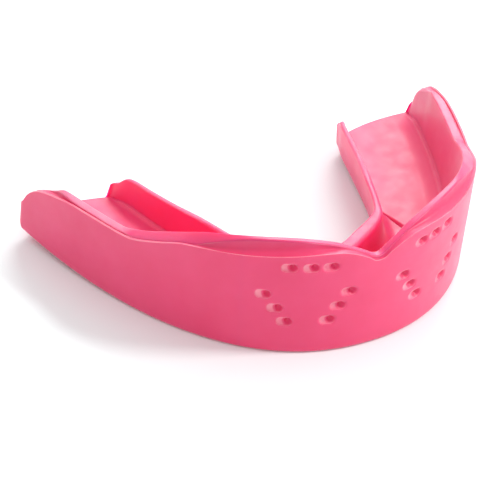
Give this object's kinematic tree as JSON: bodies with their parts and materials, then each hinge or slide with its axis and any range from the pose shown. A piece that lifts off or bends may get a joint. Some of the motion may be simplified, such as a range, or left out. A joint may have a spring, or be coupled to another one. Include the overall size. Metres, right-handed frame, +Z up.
{
  "type": "sports mouthguard",
  "caption": "Moulded upper-arch sports mouthguard: U-shaped bite tray with a tooth channel, raised molar pads, a notched rim and a perforated front impact panel.",
  "frame": {"origin": "bottom centre of the whole guard: Z = 0 is the biting underside at the lips, X = 0 the mirror plane, Y = 0 half way along the arch", "axes": "+X to the right across the arch as seen from in front of the lips (the wearer's left); left and right in node names follow that view; +Y towards the throat, with the lip face at -Y; +Z up towards the gums"},
  "size_m": [0.0654, 0.0439, 0.0182],
  "materials": {
    "tray": "satin, softly translucent pink moulded thermoplastic",
    "impact_band": "satin pink moulded thermoplastic",
    "molar_pad": "satin pink moulded thermoplastic with a finely textured bite surface"
  },
  "bodies": {
    "root": {"bite_tray": "tray", "front_impact_panel": "impact_band", "left_side_band": "impact_band", "right_side_band": "impact_band", "left_molar_pad": "molar_pad", "right_molar_pad": "molar_pad"}
  },
  "joints": []
}
